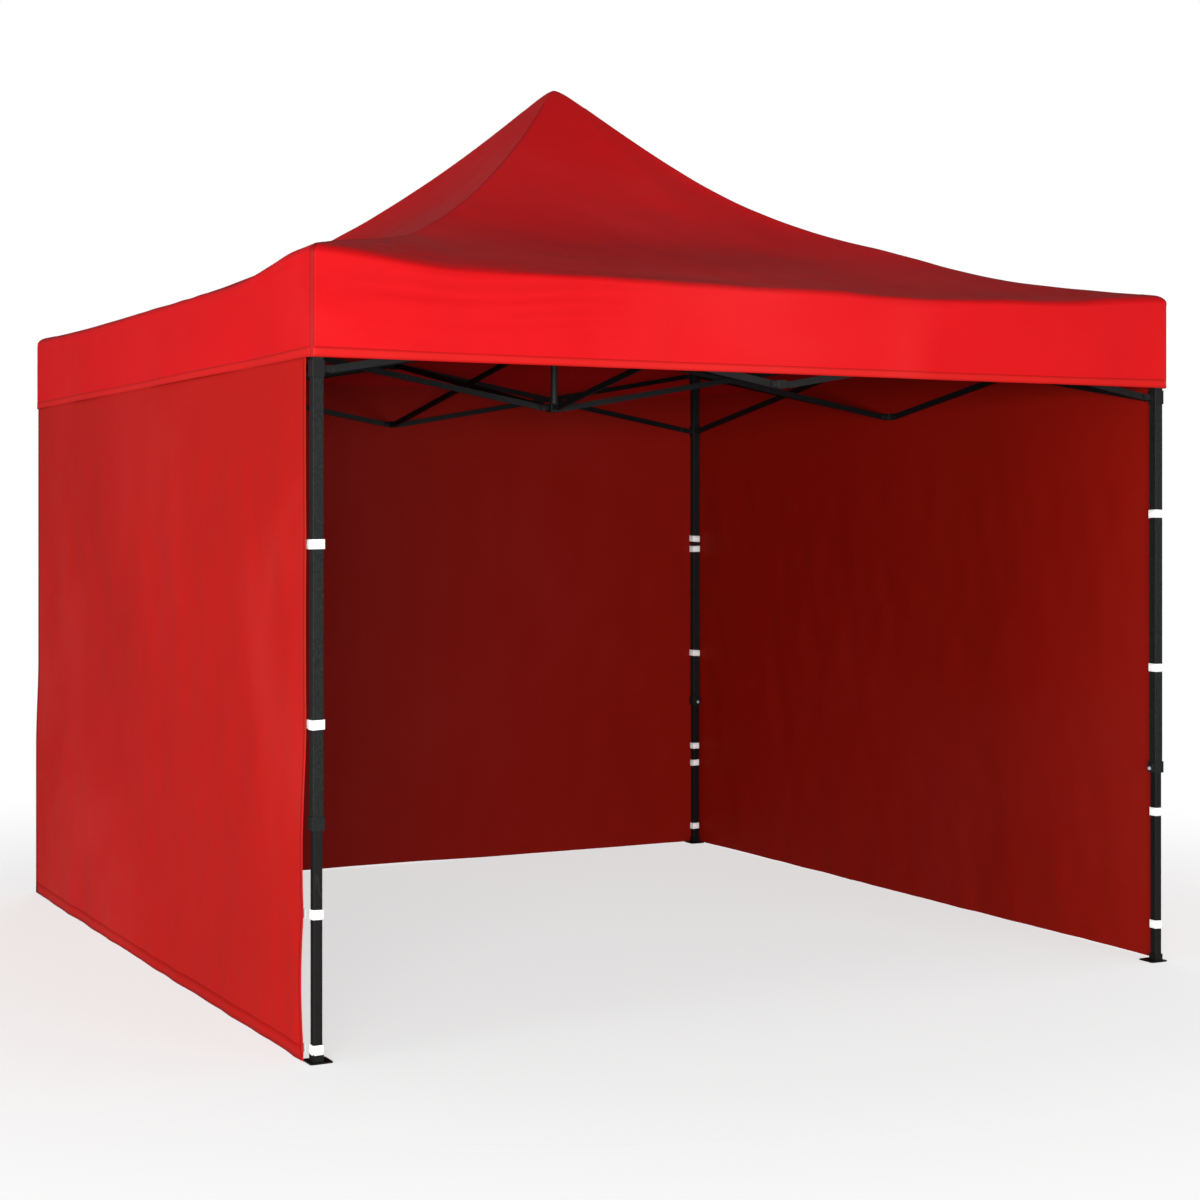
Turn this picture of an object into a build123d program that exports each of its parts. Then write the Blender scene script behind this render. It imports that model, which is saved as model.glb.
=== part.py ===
"""Pop up canopy: a 3 m square scissor frame on four telescopic legs, a peaked roof with a
valance, and three side walls.

Millimetres, +Z up. The origin is on the ground under the peak. The open front faces -Y.
The frame repeats four times about Z, so each part is made for the front side, or for the
front right corner, and turned into its other places.
"""

import os
from math import atan2, cos, degrees, hypot, radians, sin, sqrt

from build123d import *

os.makedirs("parts", exist_ok=True)

SIDES = ("front", "right", "back", "left")
CORNERS = ("front_right", "back_right", "back_left", "front_left")

# Frame layout
leg_half = 1450.0  # leg centre from the canopy's centre, along X and along Y
top_pivot_z = 2068.0
low_pivot_z = 1828.0
leg_ear = 45.0  # leg centre to the pivot of a side bar
mid_ear = 30.0  # middle bracket's centre to each of its pivots
hub_ear = 45.0  # hub centre to the pivot of a cross bar

# Scissor bars: rectangular tube, two bars side by side in each scissor
bar_height = 20.0
bar_width = 10.0
bar_wall = 0.8
bar_tip = 8.0  # bar beyond its end pivot
bar_shift = 6.5  # bar's middle plane from the scissor's middle plane

# Rivets and forks
rivet_r = 3.0
fixed_hole_r = 3.03
running_hole_r = 3.06
rivet_head_r = 5.5
rivet_head = 1.5
head_gap = 0.1
spacer_r = 7.0
spacer_half = 1.4
fork_gap = 0.5
cheek = 3.0
cheek_r = 9.0

# Brackets
mid_core = 32.0
mid_core_height = 24.0
hub_core = 44.0
hub_core_height = 30.0
core_fillet = 3.0

# Legs
outer_leg = 30.0
inner_leg = 25.0
outer_leg_wall = 1.0
inner_leg_wall = 2.0
outer_leg_bottom = 620.0
outer_leg_top = 2056.0
inner_leg_top = 1100.0
inner_leg_bottom = 6.0
head_size = 36.0
head_bottom = 2034.0
head_top = 2102.0
slider_size = 36.0
slider_hole = 31.0
slider_half_height = 22.0
collar_size = 35.0
collar_bottom = 612.0
collar_top = 648.0
boss_reach = 26.0
boss_width = 20.0
boss_bottom = 614.0
boss_top = 640.0
button_r = 6.0
button_hole_r = 6.08
button_length = 9.0
button_out = 4.0
button_pocket = 9.5
foot_plate = 64.0
foot_thickness = 4.0
foot_inset = 6.0  # plate's centre, inwards from the leg's centre
foot_socket = 30.0
foot_socket_top = 24.0

# Centre pole: stands in the lower hub when the frame is open, and slides in the top hub
pole_r = 12.5
pole_seat_r = 12.58
pole_passage_r = 13.3
pole_wall = 1.2
pole_bottom = 1824.0
pole_top = 2910.0
cap_r = 38.0
cap_rim = 5.0
cap_height = 26.0

# Roof and walls
roof_half = 1479.0
eave_z = 2130.0
roof_rise = 847.0
peak_round = 20.0
shoulder_r = 18.0
valance_bottom = 1856.0
fabric = 1.6
panel_start = 2.0
panel_gap = 0.4
wall_inner = 1470.0
wall_fabric = 1.5
wall_front_end = 1432.0  # past the middle of the side, where a wall stops short of a front leg
wall_back_end = 1469.0  # and where two walls meet at a back corner
wall_bottom = 15.0
wall_top = 1990.0

bar_run = leg_half - leg_ear - mid_ear
bar_drop = top_pivot_z - low_pivot_z
bar_length = hypot(bar_run, bar_drop)
bar_angle = degrees(atan2(bar_drop, bar_run))
scissor_z = (top_pivot_z + low_pivot_z) / 2
side_middle = mid_ear + bar_run / 2
cross_middle = hub_ear + bar_run / 2


def save(part, name, turn=0.0):
    """Write one subcomponent, turned about Z into its place."""
    placed = part.rotate(Axis.Z, turn)
    placed.label = name
    export_step(placed, f"parts/{name}.step")


def upright_plane(origin, along):
    """A vertical plane whose X runs along a level direction and whose Y points up."""
    return Plane(origin=origin, x_dir=(*along, 0), z_dir=(along[1], -along[0], 0))


def square_tube(size, wall, bottom, top, x, y):
    """A square tube standing at x, y."""
    with BuildSketch(Plane.XY.offset(bottom)) as profile:
        with Locations((x, y)):
            RectangleRounded(size, size, 2.0)
            Rectangle(size - 2 * wall, size - 2 * wall, mode=Mode.SUBTRACT)
    extrude(profile.sketch, amount=top - bottom)


def box_between(low, high, mode=Mode.ADD):
    """A box between two corners."""
    size = [b - a for a, b in zip(low, high)]
    middle = [(a + b) / 2 for a, b in zip(low, high)]
    with Locations(tuple(middle)):
        Box(*size, mode=mode)


def disc(plane, start, end, radius, mode=Mode.ADD):
    """A round piece along a plane's normal, from one offset to another."""
    with BuildSketch(plane.offset(start)) as profile:
        Circle(radius)
    extrude(profile.sketch, amount=end - start, mode=mode)


def fork(pivot, along, back):
    """Two cheeks, reaching back from a pivot to their bracket, and the rivet through them."""
    plane = upright_plane(pivot, along)
    inside = bar_width / 2 + fork_gap
    outside = inside + cheek
    for start in (inside, -outside):
        with BuildSketch(plane.offset(start)) as profile:
            with Locations((-back / 2, 0)):
                Rectangle(back, 2 * cheek_r)
            Circle(cheek_r)
            Circle(fixed_hole_r, mode=Mode.SUBTRACT)
        extrude(profile.sketch, amount=cheek)
    seat = outside + head_gap
    disc(plane, -seat, seat, rivet_r)
    disc(plane, seat, seat + rivet_head, rivet_head_r)
    disc(plane, -seat - rivet_head, -seat, rivet_head_r)


def scissor_bar(plane, spans):
    """A bar centred on a plane. spans is +1 or -1 where it carries the scissor's rivet, on the
    side of its partner, and 0 where it only turns on it."""
    half = bar_width / 2
    length = bar_length + 2 * bar_tip
    with BuildPart() as bar:
        with BuildSketch(plane.offset(-half)):
            RectangleRounded(length, bar_height, 2.5)
        extrude(amount=bar_width)
        with BuildSketch(plane.offset(bar_wall - half)):
            Rectangle(length + 2, bar_height - 2 * bar_wall)
        extrude(amount=bar_width - 2 * bar_wall, mode=Mode.SUBTRACT)
        with BuildSketch(plane.offset(-half)):
            with Locations((-bar_length / 2, 0), (bar_length / 2, 0)):
                Circle(running_hole_r)
            Circle(fixed_hole_r if spans else running_hole_r)
        extrude(amount=bar_width, mode=Mode.SUBTRACT)
        if spans:
            near = plane.offset(spans * bar_shift)
            seat = bar_shift + half + head_gap
            disc(near, -seat, seat, rivet_r)
            disc(near, -spacer_half, spacer_half, spacer_r)
            disc(near, seat, seat + rivet_head, rivet_head_r)
            disc(near, -seat - rivet_head, -seat, rivet_head_r)
    return bar.part


def side_bar_plane(end, shift, angle):
    """Middle plane of a front side bar. end is +1 for the right half and -1 for the left."""
    turned = radians(angle)
    return Plane(
        origin=(end * side_middle, -leg_half - shift, scissor_z),
        x_dir=(end * cos(turned), 0, sin(turned)),
        z_dir=(0, -1, 0),
    )


def cross_bar_plane(shift, angle):
    """Middle plane of a front cross bar, between the hub and the front middle bracket."""
    turned = radians(angle)
    return Plane(
        origin=(shift, -cross_middle, scissor_z),
        x_dir=(0, -cos(turned), sin(turned)),
        z_dir=(1, 0, 0),
    )


def middle_bracket(z, side_shift, cross_shift):
    """Bracket in the middle of the front side: a fork each way along it and one inwards."""
    half = mid_core / 2
    with BuildPart() as bracket:
        with Locations((0, -leg_half, z)):
            Box(mid_core, mid_core, mid_core_height)
        fillet(bracket.edges().filter_by(Axis.Z), core_fillet)
        for end in (1, -1):
            pivot = (end * mid_ear, -leg_half - side_shift, z)
            fork(pivot, (end, 0), mid_ear - half + 2)
        fork((cross_shift, mid_ear - leg_half, z), (0, 1), mid_ear - half + 2)
    return bracket.part


def hub(z, shift, hole_r, hole_bottom):
    """Centre hub with a fork to each side and a hole for the pole."""
    with BuildPart() as body:
        with Locations((0, 0, z)):
            Box(hub_core, hub_core, hub_core_height)
        fillet(body.edges().filter_by(Axis.Z), core_fillet)
        for side in range(4):
            turn = radians(90 * side)
            along = (sin(turn), -cos(turn))
            pivot = (
                hub_ear * along[0] + shift * cos(turn),
                hub_ear * along[1] + shift * sin(turn),
                z,
            )
            fork(pivot, along, hub_ear - hub_core / 2 + 2)
        disc(Plane.XY, hole_bottom, z + hub_core_height, hole_r, Mode.SUBTRACT)
    return body.part


# Scissor bars. The outer bar of each side scissor runs from the leg's head to the low middle
# bracket, and the inner one from the slider to the top middle bracket.
for end, hand in ((1, "right"), (-1, "left")):
    outer_bar = scissor_bar(side_bar_plane(end, bar_shift, bar_angle), 0)
    inner_bar = scissor_bar(side_bar_plane(end, -bar_shift, -bar_angle), 1)
    for k, side in enumerate(SIDES):
        save(outer_bar, f"side_bar_outer_{side}_{hand}", 90 * k)
        save(inner_bar, f"side_bar_inner_{side}_{hand}", 90 * k)

cross_from_top = scissor_bar(cross_bar_plane(bar_shift, -bar_angle), 0)
cross_from_low = scissor_bar(cross_bar_plane(-bar_shift, bar_angle), 1)
for k, side in enumerate(SIDES):
    save(cross_from_top, f"cross_bar_from_top_hub_{side}", 90 * k)
    save(cross_from_low, f"cross_bar_from_lower_hub_{side}", 90 * k)

# Brackets and hubs
top_bracket = middle_bracket(top_pivot_z, -bar_shift, -bar_shift)
low_bracket = middle_bracket(low_pivot_z, bar_shift, bar_shift)
for k, side in enumerate(SIDES):
    save(top_bracket, f"middle_bracket_top_{side}", 90 * k)
    save(low_bracket, f"middle_bracket_low_{side}", 90 * k)

save(hub(top_pivot_z, bar_shift, pole_passage_r, top_pivot_z - hub_core_height), "top_hub")
save(hub(low_pivot_z, -bar_shift, pole_seat_r, pole_bottom), "lower_hub")

# Centre pole, with the cap that carries the roof's peak
with BuildPart() as centre_pole:
    disc(Plane.XY, pole_bottom, pole_top, pole_r)
    disc(Plane.XY, pole_bottom, pole_top, pole_r - pole_wall, Mode.SUBTRACT)
    with BuildSketch(Plane.XZ):
        with BuildLine():
            under = Line((0, pole_top), (cap_r, pole_top))
            rim = Line(under @ 1, (cap_r, pole_top + cap_rim))
            dome = Spline(
                rim @ 1,
                (0.6 * cap_r, pole_top + 0.65 * cap_height),
                (0, pole_top + cap_height),
            )
            Line(dome @ 1, under @ 0)
        make_face()
    revolve(axis=Axis.Z)
save(centre_pole.part, "centre_pole")

# Outer leg: tube, head with the forks of two sides, and the collar that guides the inner leg
corner = (leg_half, -leg_half)
with BuildPart() as outer_leg_part:
    square_tube(outer_leg, outer_leg_wall, outer_leg_bottom, outer_leg_top, *corner)
    half = head_size / 2
    low = (leg_half - half, -leg_half - half, head_bottom)
    high = (leg_half + half, -leg_half + half, head_top)
    with BuildPart(mode=Mode.PRIVATE) as head:
        box_between(low, high)
        fillet(head.edges().filter_by(Axis.Z), core_fillet)
        chamfer(head.faces().sort_by(Axis.Z)[-1].edges(), 2)
        pocket = outer_leg / 2 + 0.05
        box_between(
            (leg_half - pocket, -leg_half - pocket, head_bottom),
            (leg_half + pocket, -leg_half + pocket, outer_leg_top + 0.05),
            Mode.SUBTRACT,
        )
        fork(
            (leg_half - leg_ear, -leg_half - bar_shift, top_pivot_z),
            (-1, 0),
            leg_ear - half + 1,
        )
        fork(
            (leg_half + bar_shift, leg_ear - leg_half, top_pivot_z),
            (0, 1),
            leg_ear - half + 1,
        )
    add(head.part)
    half = collar_size / 2
    with BuildPart(mode=Mode.PRIVATE) as collar:
        box_between(
            (leg_half - half, -leg_half - half, collar_bottom),
            (leg_half + half, -leg_half + half, collar_top),
        )
        box_between(
            (leg_half - boss_reach, -leg_half - boss_width / 2, boss_bottom),
            (leg_half - half + 1, -leg_half + boss_width / 2, boss_top),
        )
        fillet(collar.edges().filter_by(Axis.Z), 1.0)
        pocket = outer_leg / 2 + 0.05
        box_between(
            (leg_half - pocket, -leg_half - pocket, outer_leg_bottom - 0.05),
            (leg_half + pocket, -leg_half + pocket, collar_top),
            Mode.SUBTRACT,
        )
        guide = inner_leg / 2 + 0.4
        box_between(
            (leg_half - guide, -leg_half - guide, collar_bottom),
            (leg_half + guide, -leg_half + guide, collar_top),
            Mode.SUBTRACT,
        )
        button_z = (boss_bottom + outer_leg_bottom) / 2 + 9
        button_plane = Plane(
            origin=(leg_half - boss_reach, -leg_half, button_z), z_dir=(1, 0, 0)
        )
        disc(button_plane, 0, button_pocket, button_hole_r, Mode.SUBTRACT)
    add(collar.part)

# Slider: sleeve on the outer leg with the forks of two sides
with BuildPart() as leg_slider:
    half = slider_size / 2
    hole = slider_hole / 2
    box_between(
        (leg_half - half, -leg_half - half, low_pivot_z - slider_half_height),
        (leg_half + half, -leg_half + half, low_pivot_z + slider_half_height),
    )
    fillet(leg_slider.edges().filter_by(Axis.Z), core_fillet)
    fork(
        (leg_half - leg_ear, -leg_half + bar_shift, low_pivot_z),
        (-1, 0),
        leg_ear - half + 1,
    )
    fork(
        (leg_half - bar_shift, leg_ear - leg_half, low_pivot_z),
        (0, 1),
        leg_ear - half + 1,
    )
    box_between(
        (leg_half - hole, -leg_half - hole, low_pivot_z - slider_half_height),
        (leg_half + hole, -leg_half + hole, low_pivot_z + slider_half_height),
        Mode.SUBTRACT,
    )

# Inner leg with its foot
with BuildPart() as inner_leg_part:
    square_tube(inner_leg, inner_leg_wall, inner_leg_bottom, inner_leg_top, *corner)
    with BuildPart(mode=Mode.PRIVATE) as foot:
        with Locations((leg_half - foot_inset, foot_inset - leg_half, foot_thickness / 2)):
            Box(foot_plate, foot_plate, foot_thickness)
        fillet(foot.edges().filter_by(Axis.Z), 6)
        half = foot_socket / 2
        box_between(
            (leg_half - half, -leg_half - half, foot_thickness),
            (leg_half + half, -leg_half + half, foot_socket_top),
        )
        pocket = inner_leg / 2 + 0.05
        box_between(
            (leg_half - pocket, -leg_half - pocket, inner_leg_bottom - 0.05),
            (leg_half + pocket, -leg_half + pocket, foot_socket_top),
            Mode.SUBTRACT,
        )
    add(foot.part)

# Push button of the leg lock, in the collar's boss
with BuildPart() as leg_button:
    disc(button_plane, -button_out, button_length - button_out, button_r)
    chamfer(leg_button.faces().sort_by(Axis.X)[0].edges(), 1.0)

for k, place in enumerate(CORNERS):
    save(outer_leg_part.part, f"outer_leg_{place}", 90 * k)
    save(leg_slider.part, f"leg_slider_{place}", 90 * k)
    save(inner_leg_part.part, f"inner_leg_{place}", 90 * k)
    save(leg_button.part, f"leg_button_{place}", 90 * k)


def roof_z(r):
    """Height of the roof's outer face at a distance from the centre, along a side's middle."""
    q = 1 - sqrt(r * r + peak_round * peak_round) / roof_half
    return eave_z + roof_rise * (0.35 * q + 0.35 * q * q + 0.3 * q**3)


# Roof panel: one side's slope and valance in one piece of cloth, mitred at the hips
shoulder_start = roof_half - shoulder_r
steps = [panel_start + (shoulder_start - panel_start) * k / 12 for k in range(13)]
outer_line = [(-r, roof_z(r)) for r in steps]
inner_line = [(-r, roof_z(r) - 1.1 * fabric) for r in steps]
with BuildPart() as roof_panel:
    with BuildSketch(Plane.YZ):
        with BuildLine():
            slope = Spline(*outer_line)
            turn_z = slope.position_at(1).Y - shoulder_r
            bend = Spline(
                slope @ 1,
                (-roof_half, turn_z),
                tangents=(slope % 1, (0, -1)),
            )
            hem = Polyline(
                bend @ 1,
                (-roof_half, valance_bottom),
                (fabric - roof_half, valance_bottom),
                (fabric - roof_half, turn_z),
            )
            under = Spline(*reversed(inner_line))
            Spline(hem @ 1, under @ 0, tangents=((0, 1), under % 0))
            Line(under @ 1, slope @ 0)
        make_face()
    extrude(amount=roof_half, both=True)
    with BuildSketch(Plane.XY.offset(valance_bottom - 50)):
        with BuildLine():
            Polyline(
                (0, -panel_gap),
                (2 * roof_half, -2 * roof_half - panel_gap),
                (-2 * roof_half, -2 * roof_half - panel_gap),
                close=True,
            )
        make_face()
    extrude(amount=roof_rise + 400, mode=Mode.INTERSECT)
for k, side in enumerate(SIDES):
    save(roof_panel.part, f"roof_panel_{side}", 90 * k)

# Side walls, each made as if at the front, from its left end to its right end, and turned
WALL_ENDS = {
    "right": (-wall_front_end, wall_back_end),
    "back": (-wall_back_end, wall_back_end),
    "left": (-wall_back_end, wall_front_end),
}
for side, (left_end, right_end) in WALL_ENDS.items():
    with BuildPart() as side_wall:
        box_between(
            (left_end, -wall_inner - wall_fabric, wall_bottom),
            (right_end, -wall_inner, wall_top),
        )
    save(side_wall.part, f"side_wall_{side}", 90 * SIDES.index(side))
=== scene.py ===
"""Looks of the pop up canopy: cloth roof, valance, walls, straps and all surface materials.

Metres, +Z up, the open front faces -Y. The frame of bars, hubs and legs is the CAD model's own;
all cloth is modelled here as thin sheets on one shared roof surface.
"""

from math import cos, pi, radians, sin, sqrt

import bpy
import numpy as np
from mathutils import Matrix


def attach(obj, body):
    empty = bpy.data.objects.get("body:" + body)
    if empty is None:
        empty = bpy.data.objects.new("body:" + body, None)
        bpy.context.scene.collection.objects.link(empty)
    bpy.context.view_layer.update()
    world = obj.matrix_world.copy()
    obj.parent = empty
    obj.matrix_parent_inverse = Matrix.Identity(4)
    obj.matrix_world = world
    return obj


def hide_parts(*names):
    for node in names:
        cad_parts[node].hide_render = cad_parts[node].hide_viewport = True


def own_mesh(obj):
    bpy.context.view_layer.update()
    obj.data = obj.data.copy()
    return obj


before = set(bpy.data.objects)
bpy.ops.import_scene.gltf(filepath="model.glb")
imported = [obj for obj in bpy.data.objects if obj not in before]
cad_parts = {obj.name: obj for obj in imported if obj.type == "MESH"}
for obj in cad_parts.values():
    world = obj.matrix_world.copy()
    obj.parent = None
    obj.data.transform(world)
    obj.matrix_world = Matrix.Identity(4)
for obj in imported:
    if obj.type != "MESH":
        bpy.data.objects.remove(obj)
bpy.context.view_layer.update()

SIDES = ("front", "right", "back", "left")
CORNERS = ("front_right", "back_right", "back_left", "front_left")
WALLED = (1, 2, 3)

# The roof's straight profile, within a few millimetres of the CAD model's
ROOF_HALF = 1.4765
EAVE_Z = 2.130
RISE = 0.847
PEAK_ROUND = 0.024
SHOULDER = 0.024
HEM_Z = 1.857

# How the roof's cloth departs from that profile
CORNER_R = 0.016
EAVE_DIP = 0.024
CORNER_LIFT = {"front_right": 0.020, "back_right": 0.007, "back_left": -0.005, "front_left": 0.020}
HIP_SLACK = 0.030
SLOPE_SAG = 0.030
STREAK = 0.0032  # long creases beside the front left corner
HEM_RISE = 0.0011  # thickness of the valance's hem and of the sewn seams

# Where the roof cloth is divided for folding, as distances from the centre
CAP_END = 0.082
PLEAT_END = 0.78
GORE_END = 1.422
PLEATS = 8  # on each side, round the peak

# Side walls: their distance from the centre, their edges, and how loosely they hang
WALL_N = 1.4706
WALL_TOP = 1.985
WALL_BOTTOM = 0.002
WALL_FRONT = 1.430
WALL_BACK = 1.4690
FOOT_CLEAR = 0.0070  # the low part of a wall stands out this far, past the foot plates
FOOT_TRAVEL = 0.56  # height that the foot plates reach
FOOT_EASE = 0.34  # height over which the wall comes back in above that
WALL_BILLOW = 0.0055
WALL_CRUMPLE = 0.0014
STRAP_PULL = 0.0022  # height of the creases beside a strap
WALL_RIM = 0.0010  # thickness of a wall's turned edges

# Straps: their heights at each corner, and the shape of the tape round a leg
STRAP_Z = {
    "front_left": (1.365, 0.89, 0.39, 0.035),
    "front_right": (1.45, 0.952, 0.485, 0.12),
}
STRAP_Z_BACK = (1.35, 1.305, 0.843, 0.43, 0.355, 0.075)
STRAP_TAPE = 0.026
STRAP_BEND = 0.004
STRAP_HALF_OUTER = 0.0162  # half the width of a loop, round an outer leg
STRAP_HALF_INNER = 0.0140
OUTER_LEG_BOTTOM = 0.62
LEG_AXIS = 1.45

rng = np.random.RandomState(11)


# ---------------------------------------------------------------- helpers


def turned(k, t, n, z):
    """Row-frame points of a point on side k: t along the side, n outwards, z up."""
    a = k * pi / 2
    c, s = round(cos(a)), round(sin(a))
    return np.stack([t * c + n * s, t * s - n * c, z + 0 * t], axis=-1)


def along_side(k):
    """Unit vector along side k, to its right seen from outside."""
    return round(cos(k * pi / 2)), round(sin(k * pi / 2)), 0


def waves(count, shortest, longest, seed, stretch=(1, 1, 1)):
    """A smooth seeded field over points: a sum of sines in random directions."""
    r = np.random.RandomState(seed)
    direction = r.normal(size=(count, 3))
    direction /= np.linalg.norm(direction, axis=1)[:, None]
    length = np.exp(r.uniform(np.log(shortest), np.log(longest), count))
    k = 2 * pi * direction / length[:, None] / np.array(stretch)
    phase = r.uniform(0, 2 * pi, count)
    gain = (length / longest) ** 0.8
    norm = sqrt(float((gain**2).sum()) / 2)

    def field(p):
        total = np.zeros(p.shape[:-1])
        for i in range(count):
            total += gain[i] * np.sin(p @ k[i] + phase[i])
        return total / norm

    return field


def smooth(x, low, high):
    """0 below low, 1 above high, eased between."""
    q = np.clip((x - low) / (high - low), 0, 1)
    return q * q * (3 - 2 * q)


def grid_piece(name, points, material, normals=None, uv=None, body=None, out=None):
    """A piece from a grid of points (rows, columns, 3), with its own normals if given. out is
    the way its second row faces."""
    rows, cols = points.shape[:2]
    index = np.arange(rows * cols).reshape(rows, cols)
    quads = np.stack(
        [index[:-1, :-1], index[:-1, 1:], index[1:, 1:], index[1:, :-1]], axis=-1
    ).reshape(-1, 4)
    c = cols // 2
    if normals is not None:
        out = normals[1, c]
    if out is not None:
        facing = np.cross(points[1, c] - points[1, c - 1], points[1, c] - points[0, c])
        if facing @ out < 0:
            quads = quads[:, ::-1]
    mesh = bpy.data.meshes.new(name)
    mesh.from_pydata(points.reshape(-1, 3).tolist(), [], quads.tolist())
    mesh.polygons.foreach_set("use_smooth", [True] * len(quads))
    if uv is not None:
        layer = mesh.uv_layers.new(name="cloth")
        layer.data.foreach_set("uv", uv.reshape(-1, 2)[quads.reshape(-1)].reshape(-1))
    if normals is not None:
        mesh.normals_split_custom_set_from_vertices(normals.reshape(-1, 3).tolist())
    obj = bpy.data.objects.new(name, mesh)
    bpy.context.scene.collection.objects.link(obj)
    mesh.materials.append(material)
    if body:
        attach(obj, body)
    return obj


# ---------------------------------------------------------------- materials


class Nodes:
    """Short names for the few shader nodes the materials use."""

    def __init__(self, name):
        self.material = bpy.data.materials.new(name)
        self.material.use_nodes = True
        self.tree = self.material.node_tree
        self.shader = self.tree.nodes["Principled BSDF"]

    def add(self, kind, **settings):
        node = self.tree.nodes.new(kind)
        for key, value in settings.items():
            setattr(node, key, value)
        return node

    def put(self, socket, value):
        if isinstance(value, bpy.types.NodeSocket):
            self.tree.links.new(value, socket)
        else:
            socket.default_value = value

    def math(self, operation, a, b=0.0, c=0.0):
        node = self.add("ShaderNodeMath", operation=operation)
        for socket, value in zip(node.inputs, (a, b, c)):
            self.put(socket, value)
        return node.outputs[0]

    def noise(self, vector, scale, detail=2.0, roughness=0.5, distortion=0.0):
        node = self.add("ShaderNodeTexNoise")
        self.put(node.inputs["Vector"], vector)
        self.put(node.inputs["Scale"], scale)
        self.put(node.inputs["Detail"], detail)
        self.put(node.inputs["Roughness"], roughness)
        self.put(node.inputs["Distortion"], distortion)
        return node.outputs["Fac"]

    def stretch(self, vector, scale):
        node = self.add("ShaderNodeMapping")
        self.put(node.inputs["Vector"], vector)
        self.put(node.inputs["Scale"], scale)
        return node.outputs["Vector"]

    def ramp(self, factor, stops):
        node = self.add("ShaderNodeValToRGB")
        self.put(node.inputs["Fac"], factor)
        ramp = node.color_ramp
        while len(ramp.elements) < len(stops):
            ramp.elements.new(0.5)
        for element, (place, colour) in zip(ramp.elements, stops):
            element.position = place
            element.color = (*colour, 1)
        return node.outputs["Color"]

    def mix(self, factor, a, b, kind="MIX"):
        node = self.add("ShaderNodeMix", data_type="RGBA", blend_type=kind)
        self.put(node.inputs["Factor"], factor)
        for socket, value in ((node.inputs[6], a), (node.inputs[7], b)):
            self.put(socket, (*value, 1) if isinstance(value, tuple) else value)
        return node.outputs[2]

    def bump(self, height, distance, strength=1.0, normal=None):
        node = self.add("ShaderNodeBump")
        self.put(node.inputs["Height"], height)
        self.put(node.inputs["Distance"], distance)
        self.put(node.inputs["Strength"], strength)
        if normal is not None:
            self.put(node.inputs["Normal"], normal)
        return node.outputs["Normal"]

    def finish(self, colour, roughness, normal=None, **sockets):
        self.put(self.shader.inputs["Base Color"], colour)
        self.put(self.shader.inputs["Roughness"], roughness)
        if normal is not None:
            self.put(self.shader.inputs["Normal"], normal)
        for name, value in sockets.items():
            self.shader.inputs[name.replace("_", " ")].default_value = value
        return self.material


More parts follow.
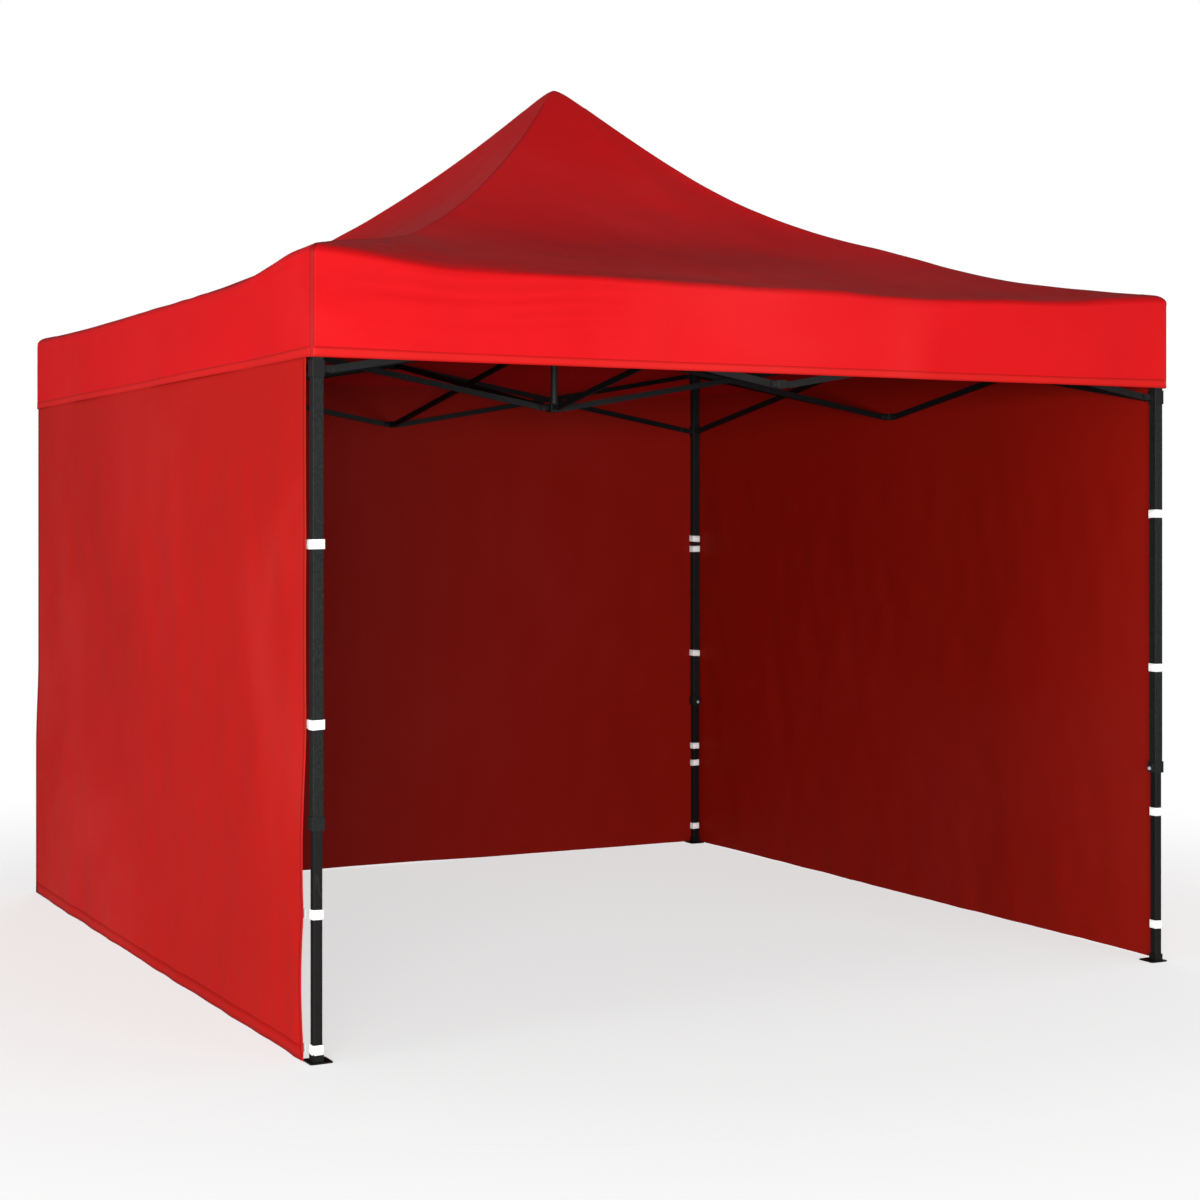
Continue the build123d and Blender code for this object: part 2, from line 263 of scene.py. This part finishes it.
def cloth_material(name, colour, pale, wrinkle, stitched=True):
    """Coated polyester: fine plain weave, slow colour drift, soft creases and a sewn edge, with a
    painted shade line along the hem's fold, painted shade on faces that point up or down, and
    painted shade on the inner side.
    The UV map holds metres: along the edge in U, and away from the edge in V."""
    thread_pitch = 0.0014
    stitch_inset, stitch_half, stitch_pitch = 0.017, 0.0011, 0.0065
    fold_inset, fold_half = 0.0205, 0.001
    n = Nodes(name)
    place = n.add("ShaderNodeTexCoord").outputs["Object"]
    uv = n.add("ShaderNodeUVMap", uv_map="cloth").outputs["UV"]
    parts = n.add("ShaderNodeSeparateXYZ")
    n.put(parts.inputs[0], uv)
    along, away = parts.outputs[0], parts.outputs[1]
    drift = n.noise(place, 0.9, 3.0, 0.55, 0.6)
    dust = n.noise(place, 7.0, 4.0, 0.6)
    base = n.ramp(
        drift,
        [
            (0.25, tuple(0.86 * c for c in colour)),
            (0.5, colour),
            (0.8, tuple(min(1.0, 1.1 * c + 0.01) for c in colour)),
        ],
    )
    base = n.mix(n.math("MULTIPLY", dust, 0.10), base, pale)
    warp = n.math("SINE", n.math("MULTIPLY", along, 2 * pi / thread_pitch))
    weft = n.math("SINE", n.math("MULTIPLY", away, 2 * pi / thread_pitch))
    weave = n.math("MULTIPLY", warp, weft)
    base = n.mix(n.math("MULTIPLY_ADD", weave, 0.03, 0.03), base, pale)
    creases = n.noise(n.stretch(place, (1.3, 1.3, 2.6)), 1.7, 4.0, 0.5, 1.4)
    fine = n.noise(place, 26.0, 3.0, 0.6)
    height = n.math("MULTIPLY_ADD", fine, 0.06, creases)
    normal = n.bump(height, wrinkle, 0.5)
    if stitched:
        from_line = n.math("ABSOLUTE", n.math("SUBTRACT", away, stitch_inset))
        line = n.math("LESS_THAN", from_line, stitch_half)
        step = n.math("FRACT", n.math("DIVIDE", along, stitch_pitch))
        dash = n.math("LESS_THAN", step, 0.62)
        stitch = n.math("MULTIPLY", line, dash)
        base = n.mix(n.math("MULTIPLY", stitch, 0.75), base, pale)
        # Painted shade: a thin line along the hem's fold is mixed towards a darker red.
        from_fold = n.math("ABSOLUTE", n.math("SUBTRACT", away, fold_inset))
        painted_fold_shade = n.math("LESS_THAN", from_fold, fold_half)
        base = n.mix(n.math("MULTIPLY", painted_fold_shade, 0.35), base, tuple(0.4 * c for c in colour))
        normal = n.bump(stitch, 0.0006, 0.6, normal)
    normal = n.bump(weave, 0.0002, 0.35, normal)
    # Painted shade: faces that point up or down, most of all the roof's slopes, are mixed towards a
    # darker red.
    facing = n.add("ShaderNodeNewGeometry").outputs
    level = n.add("ShaderNodeSeparateXYZ")
    n.put(level.inputs[0], facing["Normal"])
    painted_slope_shade = n.math("MULTIPLY", n.math("ABSOLUTE", level.outputs[2]), 0.36)
    base = n.mix(painted_slope_shade, base, tuple(0.35 * c for c in colour))
    # Painted shade: the back face of the cloth, seen from inside the canopy, is mixed towards a
    # darker brown-red.
    inside = facing["Backfacing"]
    painted_inner_shade = (0.42 * colour[0], 0.75 * colour[1], 0.25 * colour[2])
    base = n.mix(n.math("MULTIPLY", inside, 0.8), base, painted_inner_shade)
    rough = n.math("MULTIPLY_ADD", dust, 0.16, 0.52)
    return n.finish(base, rough, normal, Specular_IOR_Level=0.06)


def powder_coat(name, dark, light, grain, rough):
    """Powder-coated steel: hammered speckle, fine orange peel, paler rubbed patches."""
    n = Nodes(name)
    place = n.add("ShaderNodeTexCoord").outputs["Object"]
    speckle = n.noise(place, grain, 3.0, 0.6)
    rub = n.noise(n.stretch(place, (14.0, 14.0, 1.4)), 1.0, 4.0, 0.65, 0.5)
    base = n.ramp(speckle, [(0.38, dark), (0.66, light)])
    worn = n.math("MULTIPLY", n.math("GREATER_THAN", rub, 0.66), 0.35)
    base = n.mix(worn, base, tuple(min(1.0, 2.2 * c + 0.008) for c in light))
    peel = n.noise(place, 420.0, 2.0, 0.5)
    normal = n.bump(n.math("MULTIPLY_ADD", speckle, 0.6, peel), 0.0006, 0.4)
    return n.finish(
        base, n.math("MULTIPLY_ADD", rub, 0.25, rough), normal, Specular_IOR_Level=0.12
    )


def plastic(name, colour, rough):
    """Moulded nylon: faint flow marks, matt grain and scuffed high spots."""
    n = Nodes(name)
    place = n.add("ShaderNodeTexCoord").outputs["Object"]
    flow = n.noise(n.stretch(place, (9.0, 9.0, 22.0)), 1.0, 3.0, 0.5, 0.8)
    grain = n.noise(place, 900.0, 2.0, 0.5)
    scuff = n.noise(place, 60.0, 5.0, 0.7)
    base = n.ramp(flow, [(0.3, tuple(0.8 * c for c in colour)), (0.7, colour)])
    lift = n.math("MULTIPLY", n.math("GREATER_THAN", scuff, 0.62), 0.3)
    base = n.mix(lift, base, tuple(min(1.0, 1.7 * c + 0.03) for c in colour))
    normal = n.bump(grain, 0.0002, 0.4)
    return n.finish(
        base, n.math("MULTIPLY_ADD", scuff, 0.2, rough), normal, Specular_IOR_Level=0.12
    )


def webbing(name, colour, shade):
    """Woven tape: ribs across it and a slightly soiled colour."""
    n = Nodes(name)
    place = n.add("ShaderNodeTexCoord").outputs["Object"]
    parts = n.add("ShaderNodeSeparateXYZ")
    n.put(parts.inputs[0], place)
    rib_pitch = 0.0022
    rib = n.math("SINE", n.math("MULTIPLY", parts.outputs[2], 2 * pi / rib_pitch))
    soil = n.noise(place, 40.0, 4.0, 0.6)
    base = n.mix(n.math("MULTIPLY", soil, 0.5), colour, shade)
    base = n.mix(n.math("MULTIPLY_ADD", rib, 0.06, 0.06), base, shade)
    normal = n.bump(n.math("MULTIPLY_ADD", soil, 0.5, rib), 0.0004, 0.5)
    return n.finish(base, 0.8, normal, Sheen_Weight=0.3)


def floor_material():
    """Pale studio floor that fades out into the white surround, so no horizon shows."""
    n = Nodes("studio_floor")
    place = n.add("ShaderNodeTexCoord").outputs["Object"]
    tone = n.noise(place, 0.8, 2.0, 0.5)
    base = n.ramp(tone, [(0.3, (0.90, 0.90, 0.90)), (0.7, (0.93, 0.93, 0.93))])
    distance = n.add("ShaderNodeVectorMath", operation="LENGTH")
    n.put(distance.inputs[0], place)
    far = n.add("ShaderNodeMapRange", interpolation_type="SMOOTHSTEP")
    for name, value in (
        ("Value", distance.outputs["Value"]),
        ("From Min", 1.9),
        ("From Max", 4.6),
        ("To Min", 0.34),
        ("To Max", 0.0),
    ):
        n.put(far.inputs[name], value)
    n.put(n.shader.inputs["Alpha"], far.outputs["Result"])
    return n.finish(base, 0.9, Specular_IOR_Level=0.1)


roof_cloth = cloth_material("roof_cloth", (0.46, 0.003, 0.005), (0.60, 0.010, 0.012), 0.006)
wall_cloth = cloth_material("wall_cloth", (0.33, 0.0045, 0.003), (0.44, 0.012, 0.009), 0.006)
hem_cloth = cloth_material("hem_cloth", (0.43, 0.006, 0.006), (0.60, 0.03, 0.02), 0.004, False)
seam_cloth = cloth_material("seam_cloth", (0.24, 0.004, 0.005), (0.40, 0.02, 0.02), 0.003, False)
leg_coat = powder_coat("leg_coat", (0.003, 0.0032, 0.0034), (0.011, 0.012, 0.012), 240.0, 0.42)
bar_coat = powder_coat("bar_coat", (0.0018, 0.0018, 0.002), (0.006, 0.0062, 0.0066), 300.0, 0.4)
pole_coat = powder_coat("pole_coat", (0.005, 0.0055, 0.006), (0.018, 0.019, 0.019), 260.0, 0.34)
bracket_nylon = plastic("bracket_nylon", (0.006, 0.006, 0.0065), 0.46)
button_nylon = plastic("button_nylon", (0.30, 0.30, 0.31), 0.4)
strap_white = webbing("strap_white", (0.86, 0.86, 0.85), (0.60, 0.59, 0.57))

FINISHES = (
    ("outer_leg", leg_coat),
    ("inner_leg", bar_coat),
    ("side_bar", bar_coat),
    ("cross_bar", bar_coat),
    ("centre_pole", pole_coat),
    ("leg_button", button_nylon),
    ("leg_slider", bracket_nylon),
    ("middle_bracket", bracket_nylon),
    ("top_hub", bracket_nylon),
    ("lower_hub", bracket_nylon),
)
for node_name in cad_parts:
    for start, finish in FINISHES:
        if node_name.startswith(start):
            node_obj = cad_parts[node_name]
            node_obj.data.materials.clear()
            node_obj.data.materials.append(finish)


# ---------------------------------------------------------------- roof surface


def roof_z(r):
    """Height of the straight profile at a distance from the centre."""
    q = 1 - np.sqrt(r * r + PEAK_ROUND**2) / ROOF_HALF
    return EAVE_Z + RISE * (0.35 * q + 0.35 * q * q + 0.3 * q**3)


def roof_rows():
    """Rows of the roof from peak to hem: distance from the centre, height, and how far each row
    lies down the valance (0 on the roof)."""
    slope_end = ROOF_HALF - SHOULDER
    inner = np.linspace(0.0, 1.0, 15) ** 1.5 * CAP_END
    pleat = np.linspace(CAP_END, PLEAT_END, 40)[1:]
    gore = np.linspace(PLEAT_END, GORE_END, 40)[1:]
    ledge = np.linspace(GORE_END, slope_end, 4)[1:]
    size = np.concatenate([inner, pleat, gore, ledge])
    z = roof_z(size)
    a = np.linspace(0, 1, 13)[1:]
    z0 = float(z[-1])
    slope = float((roof_z(slope_end) - roof_z(slope_end - 0.001)) / 0.001)
    z_turn = z0 - SHOULDER * 1.05
    ease = a * a * (3 - 2 * a)
    bend_size = slope_end + SHOULDER * np.sin(a * pi / 2)
    bend_z = z0 + slope * SHOULDER * np.sin(a * pi / 2) * (1 - ease) + (z_turn - z0) * (
        1 - np.cos(a * pi / 2)
    )
    drop = np.linspace(0, 1, 30)[1:]
    side_z = z_turn + (HEM_Z - z_turn) * drop
    side_size = np.full_like(side_z, ROOF_HALF)
    counts = np.cumsum([len(inner), len(pleat), len(gore)])
    return (
        np.concatenate([size, bend_size, side_size]),
        np.concatenate([z, bend_z, side_z]),
        np.concatenate([0 * size, 0.05 * a, 0.05 + 0.95 * drop]),
        counts,
    )


ARC = 5
STRAIGHT = 96
PER_SIDE = ARC + STRAIGHT + ARC


def side_columns(size):
    """Plan points of one side's columns at each row, corner arc to corner arc."""
    round_r = np.minimum(CORNER_R * (0.35 + 0.65 * smooth(size, 1.25, 1.45)), 0.3 * size)
    flat = (size - round_r)[:, None]
    round_r = round_r[:, None]
    turn = np.linspace(-pi / 4, 0, ARC + 1)[None, :-1]
    left = (-flat + round_r * np.sin(turn), flat + round_r * np.cos(turn))
    w = np.linspace(-1, 1, STRAIGHT)[None, :]
    middle = (flat * w, np.broadcast_to(size[:, None], (len(size), STRAIGHT)))
    right = (-left[0][:, ::-1], left[1][:, ::-1])
    t = np.concatenate([left[0], middle[0], right[0]], axis=1)
    n = np.concatenate([left[1], middle[1], right[1]], axis=1)
    return t, n


sag_field = waves(14, 0.5, 1.6, 3)
fold_field = waves(18, 0.12, 0.5, 5, (1, 1, 2.2))
valance_field = waves(14, 0.22, 0.9, 8, (1, 1, 3.5))
crease_field = waves(12, 0.07, 0.2, 21, (6, 6, 1))
pucker_field = waves(16, 0.02, 0.06, 31, (1, 1, 4))


def cloth_offset(k, t, n, z, size, down, run):
    """How far the cloth stands off its smooth shape, outwards, at each point of side k."""
    p = turned(k, t, n, z)
    half = np.maximum(size[:, None], 1e-6)
    w = np.clip(np.abs(t) / half, 0, 1)
    roof = 1 - smooth(down[:, None], 0.0, 0.08)
    belly = (1 - w**2) * smooth(half, 0.1, 0.6) * (1 - smooth(half, 0.7, 1.25))
    off = -SLOPE_SAG * belly * roof
    off += roof * smooth(half, 0.15, 0.7) * (0.0035 * sag_field(p) + 0.0012 * fold_field(p))
    corner = smooth(w, 0.82, 1.0)
    tension = np.sin((half - np.abs(t)) * 2 * pi / 0.075 + 3 * sag_field(p))
    off += roof * 0.0016 * tension * smooth(w, 0.72, 0.9) * (1 - smooth(w, 0.95, 1)) * (
        smooth(half, 0.9, 1.2) * (1 - smooth(half, 1.3, 1.44))
    )
    side = smooth(down[:, None], 0.05, 0.3)
    loose = 0.35 + 0.65 * smooth(down[:, None], 0.2, 1.0)
    off += side * loose * (1 - corner) * 0.0028 * (valance_field(p) - 0.4)
    near_left = smooth(-t / half, 0.35, 0.75) * (1 - smooth(-t / half, 0.96, 1.0))
    off += side * near_left * 0.0016 * crease_field(p)
    if k == 0:
        streaks = np.sin(2 * pi * run[:, None] / 0.078 + 2.2 * sag_field(p) + 1.6 * t)
        held = smooth(half, 1.15, 1.4) * (1 - smooth(down[:, None], 0.3, 0.75))
        off += STREAK * streaks * held * smooth(-t / half, 0.1, 0.7) * (1 - corner)
    off += smooth(down[:, None], 0.86, 1.0) * (1 - corner) * 0.0007 * pucker_field(p)
    return off


def settle(k, t, size, down):
    """How far the roof hangs below its straight shape on side k: the eave dips between the
    legs, which hold its corners up, and the hip to the front right corner is slack."""
    half = np.maximum(size[:, None], 1e-6)
    w = np.clip(np.abs(t) / half, 0, 1)
    on_roof = 1 - np.clip(down[:, None], 0, 1)
    edge = smooth(half, 0.95, 1.44) * on_roof
    lift = np.where(t < 0, CORNER_LIFT[CORNERS[k - 1]], CORNER_LIFT[CORNERS[k]])
    drop = edge * (EAVE_DIP * (1 - w**2) - lift * smooth(w, 0.7, 1.0))
    slack_end = {0: 1, 1: -1}.get(k, 0)
    near = smooth(slack_end * t / half, 0.35, 1.0)
    return drop + HIP_SLACK * near * np.exp(-(((half - 0.48) / 0.27) ** 2)) * on_roof


def build_roof_surface():
    """Points of the whole roof and valance, around all four sides, and their normals."""
    size, z, down, counts = roof_rows()
    t, n = side_columns(size)
    d_size = np.gradient(size)
    d_z = np.gradient(z)
    length = np.hypot(d_size, d_z)
    run = np.concatenate([[0], np.cumsum(np.hypot(np.diff(size), np.diff(z)))])
    out, up = (-d_z / length)[:, None], (d_size / length)[:, None]
    sides = []
    for k in range(4):
        height = z[:, None] - settle(k, t, size, down)
        off = cloth_offset(k, t, n, height, size, down, run)
        reach = np.where(t == 0, 1, np.abs(t)) / np.maximum(np.maximum(np.abs(t), n), 1e-9)
        side_share = np.clip((reach - 0.985) / 0.015, 0, 1)
        t_off = t + np.sign(t) * off * out * 0.5 * side_share
        n_off = n + off * out
        sides.append(turned(k, t_off, n_off, height + off * up))
    ring = np.concatenate([s[:, :-1] for s in sides], axis=1)
    for k in range(4):
        first = k * (PER_SIDE - 1)
        before = sides[k - 1][:, -1]
        ring[:, first] = (ring[:, first] + before) / 2
    across = np.roll(ring, -1, axis=1) - np.roll(ring, 1, axis=1)
    along = np.gradient(ring, axis=0)
    normals = np.cross(along, across)
    normals[0] = (0, 0, 1)
    normals /= np.maximum(np.linalg.norm(normals, axis=-1, keepdims=True), 1e-12)
    if normals[counts[0], PER_SIDE // 2, 2] < 0:
        normals = -normals
    normals[0] = (0, 0, 1)
    return ring, normals, run, counts


ring, ring_normals, run, row_counts = build_roof_surface()
ROWS, RING = ring.shape[:2]
cap_row, pleat_row, gore_row = (int(c) - 1 for c in row_counts)
ROOF_SHAPES = {}


def roof_part(name, rows, cols, material, body):
    """A piece of the roof surface: a range of rows and of columns."""
    c = np.arange(cols[0], cols[1] + 1) % RING
    r = np.arange(rows[0], rows[1] + 1)
    points = ring[np.ix_(r, c)]
    normals = ring_normals[np.ix_(r, c)]
    edge = (run[-1] - run[r])[:, None] + 0 * points[..., 0]
    step = np.linalg.norm(np.diff(points[-1], axis=0), axis=-1)
    reach = np.concatenate([[0], np.cumsum(step)])[None, :] + 0 * points[..., 0]
    uv = np.stack([reach, edge], axis=-1)
    ROOF_SHAPES[name] = points.shape[:2]
    return grid_piece(name, points, material, normals, uv, body)


def gather_pleat(piece):
    """Give a piece its own copy of its mesh."""
    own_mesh(piece)


cap = roof_part("roof_cap", (0, cap_row), (0, RING), roof_cloth, "mast")
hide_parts(*[f"roof_panel_{s}" for s in SIDES])
roof_pieces = [cap]

for k, side in enumerate(SIDES):
    first = k * (PER_SIDE - 1)
    last = first + PER_SIDE - 1
    along = along_side(k)
    for i in range(PLEATS):
        c0 = first + round(i * (PER_SIDE - 1) / PLEATS)
        c1 = first + round((i + 1) * (PER_SIDE - 1) / PLEATS)
        name = f"roof_pleat_{side}_{i}"
        pleat = roof_part(name, (cap_row, pleat_row), (c0, c1), roof_cloth, "mast")
        gather_pleat(pleat)
        roof_pieces.append(pleat)
    gore = roof_part(
        f"roof_gore_{side}",
        (pleat_row, gore_row),
        (first, last),
        roof_cloth,
        f"roof_{side}",
    )
    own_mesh(gore)
    valance = roof_part(
        f"valance_{side}",
        (gore_row, ROWS - 1),
        (first, last),
        roof_cloth,
        f"middle_top_{side}",
    )
    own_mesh(valance)
    roof_pieces += [gore, valance]


def seam_strip(name, rows, cols, rise, body):
    """A sewn seam: a narrow raised strip on the roof surface."""
    lift = np.array([0, 0.9, 1.5, 1.9, 1.5, 0.9, 0])[None, :, None] * rise
    strip = ring[np.ix_(rows, cols)] + ring_normals[np.ix_(rows, cols)] * lift
    out = ring_normals[rows[1], cols[3]]
    seam = grid_piece(name, strip, seam_cloth, body=body, out=out)
    return seam


def band(name, surface, normals, rise, material, body, slot):
    """A hem: the cloth turned up outside its edge, along the last rows of a surface."""
    outer = surface + normals * rise
    strip = np.concatenate([surface[:1], outer, surface[-1:]], axis=0)
    out = normals[1, surface.shape[1] // 2]
    piece = grid_piece(name, strip, material, body=body, out=out)
    return piece


for k, side in enumerate(SIDES):
    first = k * (PER_SIDE - 1)
    along = along_side(k)
    cols = np.arange(first, first + PER_SIDE) % RING
    rows = np.arange(ROWS - 4, ROWS)
    hem = band(
        f"valance_hem_{side}",
        ring[np.ix_(rows, cols)],
        ring_normals[np.ix_(rows, cols)],
        HEM_RISE,
        hem_cloth,
        f"middle_top_{side}",
        "roof_cloth",
    )
    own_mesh(hem)

    corner = CORNERS[k]
    cols = np.arange(first + PER_SIDE - 4, first + PER_SIDE + 3) % RING
    seam_strip(f"corner_seam_{corner}", np.arange(gore_row, ROWS), cols, HEM_RISE, f"leg_{corner}")
    rows = np.arange(pleat_row, gore_row + 1)
    seam = seam_strip(f"hip_seam_{corner}", rows, cols, 0.6 * HEM_RISE, f"roof_{side}")
    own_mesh(seam)
    rows = np.arange(cap_row, pleat_row + 1)
    seam = seam_strip(f"peak_seam_{corner}", rows, cols, 0.6 * HEM_RISE, "mast")
    gather_pleat(seam)


# ---------------------------------------------------------------- side walls and straps

wall_field = waves(12, 0.35, 1.3, 41, (1.6, 1.6, 1))
crumple_field = waves(16, 0.10, 0.35, 43, (1, 1, 1.6))


def straps_at(corner):
    """Heights of the straps at a corner."""
    return STRAP_Z.get(corner, STRAP_Z_BACK)


def wall_ends(k):
    """Corner names at a side's left and right end, seen from outside with t to the right."""
    return CORNERS[k - 1], CORNERS[k]


def gather_wall(piece):
    """Give a wall piece its own copy of its mesh."""
    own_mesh(piece)


def scallop(z, heights):
    """How far a wall's edge hangs back between its straps, 0 at a strap and 1 midway."""
    knots = np.array(sorted(heights) + [WALL_TOP])
    knots = knots[np.concatenate([[True], np.diff(knots) > 0.12])]
    low = np.searchsorted(knots, z, side="right") - 1
    inside = (low >= 0) & (low < len(knots) - 1)
    low = np.clip(low, 0, len(knots) - 2)
    q = (z - knots[low]) / (knots[low + 1] - knots[low])
    return np.where(inside, np.sin(np.clip(q, 0, 1) * pi) ** 0.8, 0)


def past_foot(z):
    """How far a wall stands out at a height, to clear the foot plate of a sliding leg."""
    return FOOT_CLEAR * smooth(FOOT_TRAVEL + FOOT_EASE - z, 0, FOOT_EASE)


def wall_points(k):
    """Grid of a side wall: rows from top to bottom, columns along the side."""
    u = np.linspace(-1, 1, 141)
    u = np.sign(u) * (1 - (1 - np.abs(u)) ** 1.25)
    ends = [WALL_FRONT if c.startswith("front") else WALL_BACK for c in wall_ends(k)]
    v = np.linspace(0, 1, 101)[:, None]
    left, right = wall_ends(k)
    z = WALL_TOP + (WALL_BOTTOM - WALL_TOP) * v + 0 * u[None, :]
    depth = 0.004 + 0.012 * smooth(-z[:, 0], -0.9, -0.2)
    back_left = (scallop(z[:, 0], straps_at(left)) * depth)[:, None]
    back_right = (scallop(z[:, 0], straps_at(right)) * depth)[:, None]
    t = np.where(u < 0, u * ends[0], u * ends[1])[None, :] + 0 * v
    if left.startswith("front"):
        t = t + back_left * smooth(-u, 0.80, 1.0)
    if right.startswith("front"):
        t = t - back_right * smooth(u, 0.80, 1.0)
    p = turned(k, t, WALL_N + 0 * t, z)
    middle = 1 - np.abs(u[None, :]) ** 3
    free = smooth(WALL_TOP - z, 0.13, 0.6)
    billow = WALL_BILLOW * free * (0.25 + 0.75 * middle) * (0.6 + 0.5 * wall_field(p))
    billow += WALL_CRUMPLE * free * crumple_field(p)
    for end, corner in ((-1, left), (1, right)):
        for height in straps_at(corner):
            near = np.exp(-(((z - height) / 0.035) ** 2)) * np.exp(-(1 - end * u[None, :]) / 0.10)
            billow += STRAP_PULL * near * np.cos((z - height) * 2 * pi / 0.05)
    held = np.minimum(1.0, (1 - np.abs(u[None, :])) / 0.04)
    for end, corner in ((-1, left), (1, right)):
        if corner.startswith("front"):
            held = np.where(end * u[None, :] > 0, 0.35 + 0.65 * held, held)
    out = past_foot(z)
    n = WALL_N + np.maximum(billow, 0.0) * held + out
    for end, corner in ((-1, left), (1, right)):
        if corner.startswith("back"):
            t = t + end * out * smooth(end * u[None, :], 0.9, 1.0)
    z = z + 0.002 * v * wall_field(p + 5.0)
    return turned(k, t, n, np.maximum(z, 0.0012))


def grid_normals(points):
    """Unit normals of a grid of points."""
    normals = np.cross(np.gradient(points, axis=0), np.gradient(points, axis=1))
    return normals / np.maximum(np.linalg.norm(normals, axis=-1, keepdims=True), 1e-12)


for k in WALLED:
    side = SIDES[k]
    body = f"middle_top_{side}"
    along = along_side(k)
    points = wall_points(k)
    normals = grid_normals(points)
    outward = turned(k, 0.0, 1.0, 0.0)
    if float(normals[len(normals) // 2, normals.shape[1] // 2] @ outward) < 0:
        normals = -normals
    reach = (points @ np.array(along))[..., None]
    uv = np.concatenate([reach, points[..., 2:3] - WALL_BOTTOM], axis=-1)
    wall = grid_piece(f"wall_{side}", points, wall_cloth, normals, uv, body)
    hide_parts(f"side_wall_{side}")
    rims = [(f"wall_hem_{side}", points[-3:], normals[-3:])]
    for end, cols in ((-1, slice(2, None, -1)), (1, slice(-3, None))):
        edge = np.swapaxes(points[:, cols], 0, 1)
        facing = np.swapaxes(normals[:, cols], 0, 1)
        rims.append((f"wall_edge_{side}_{end + 1}", edge, facing))
    pieces = [band(*rim, WALL_RIM, wall_cloth, body, "wall_cloth") for rim in rims]
    for piece in [wall, *pieces]:
        gather_wall(piece)


def strap_ring(name, corner, height, body):
    """A tape loop round a leg, with its loose end lying over itself."""
    k = CORNERS.index(corner)
    half = STRAP_HALF_OUTER if height > OUTER_LEG_BOTTOM else STRAP_HALF_INNER
    straight = half - STRAP_BEND
    tilt = rng.uniform(-0.05, 0.05, 2)
    path = []
    for quarter in range(4):
        for a in np.linspace(0, pi / 2, 4):
            angle = quarter * pi / 2 + a
            sx, sy = ((1, 1), (-1, 1), (-1, -1), (1, -1))[quarter]
            x = sx * straight + STRAP_BEND * cos(angle)
            y = sy * straight + STRAP_BEND * sin(angle)
            path.append((x, y))
    path = np.array(path + path[:5])
    turn = np.arange(len(path))
    swell = 1 + 0.07 * smooth(turn, len(path) - 6, len(path) - 3)
    path = path * swell[:, None]
    loops = []
    for grow, dz in ((0, 0.5), (0.0012, 0.5), (0.0012, -0.5), (0, -0.5), (0, 0.5)):
        scale = (half + grow) / half
        x, y = path[:, 0] * scale, path[:, 1] * scale
        z = height + dz * STRAP_TAPE + tilt[0] * x + tilt[1] * y
        loops.append(turned(k, LEG_AXIS + x, LEG_AXIS - y, z))
    ring_piece = grid_piece(name, np.array(loops), strap_white, body=body)


for corner in CORNERS:
    for i, height in enumerate(straps_at(corner)):
        strap_ring(f"strap_{corner}_{i}", corner, height, f"leg_{corner}")

for k in WALLED:
    side = SIDES[k]
    for end, corner in zip((-1, 1), wall_ends(k)):
        for i, height in enumerate(STRAP_Z.get(corner, ())):
            t = end * np.linspace(WALL_FRONT - 0.026, WALL_FRONT + 0.001, 6)[None, :]
            z = height + np.linspace(0.012, -0.012, 4)[:, None]
            n = WALL_N - 0.004 + past_foot(z) + 0 * t
            patch = grid_piece(
                f"strap_patch_{side}_{corner}_{i}",
                turned(k, t + 0 * z, n, z + 0 * t),
                strap_white,
                body=f"middle_top_{side}",
            )
            gather_wall(patch)


for piece in roof_pieces:
    co = np.empty(len(piece.data.vertices) * 3)
    piece.data.vertices.foreach_get("co", co)
    points = co.reshape(*ROOF_SHAPES[piece.name], 3)


# ---------------------------------------------------------------- camera, floor and light


def area_light(name, place, target, size, power):
    """A rectangular lamp that faces its target."""
    data = bpy.data.lights.new(name, "AREA")
    data.shape = "RECTANGLE"
    data.size, data.size_y = size
    data.energy = power
    lamp = bpy.data.objects.new(name, data)
    lamp.location = place
    away = np.array(place, float) - np.array(target, float)
    lamp.rotation_euler = (
        np.arctan2(np.hypot(away[0], away[1]), away[2]),
        0,
        np.arctan2(away[0], -away[1]),
    )
    bpy.context.scene.collection.objects.link(lamp)


camera_data = bpy.data.cameras.new("camera")
camera_data.lens = 64.5
camera_data.sensor_width = 36
camera_data.shift_x = 0.0475
camera_data.shift_y = -0.0648
camera = bpy.data.objects.new("camera", camera_data)
camera.location = (-3.483, -6.77, 1.423)
camera.rotation_euler = (radians(90), 0, radians(-26.93))
bpy.context.scene.collection.objects.link(camera)
bpy.context.scene.camera = camera

floor_mesh = bpy.data.meshes.new("floor")
floor_mesh.from_pydata([(-40, -40, 0), (40, -40, 0), (40, 60, 0), (-40, 60, 0)], [], [(0, 1, 2, 3)])
floor = bpy.data.objects.new("floor", floor_mesh)
floor_mesh.materials.append(floor_material())
bpy.context.scene.collection.objects.link(floor)

world = bpy.data.worlds.new("studio")
world.use_nodes = True
surround = world.node_tree.nodes["Background"]
surround.inputs["Color"].default_value = (1, 1, 1, 1)
ray = world.node_tree.nodes.new("ShaderNodeLightPath")
level = world.node_tree.nodes.new("ShaderNodeMapRange")
level.inputs["To Min"].default_value = 0.32
level.inputs["To Max"].default_value = 1.0
world.node_tree.links.new(ray.outputs["Is Camera Ray"], level.inputs["Value"])
world.node_tree.links.new(level.outputs["Result"], surround.inputs["Strength"])
bpy.context.scene.world = world
bpy.context.scene.view_settings.view_transform = "Standard"
area_light("key", (-6.6, -10.2, 1.3), (0, 0, 1.9), (5, 1.6), 1700)
area_light("side", (-12.0, -3.0, 1.8), (0, 0, 1.5), (3, 2), 750)
area_light("fill", (4.0, -10.5, 1.3), (0, 0, 1.9), (4, 1.6), 380)
area_light("back", (5.0, 11.0, 3.0), (0, 0, 1.5), (5, 3), 500)
area_light("right", (11.0, -1.0, 2.2), (0, 0, 1.5), (3, 2), 350)
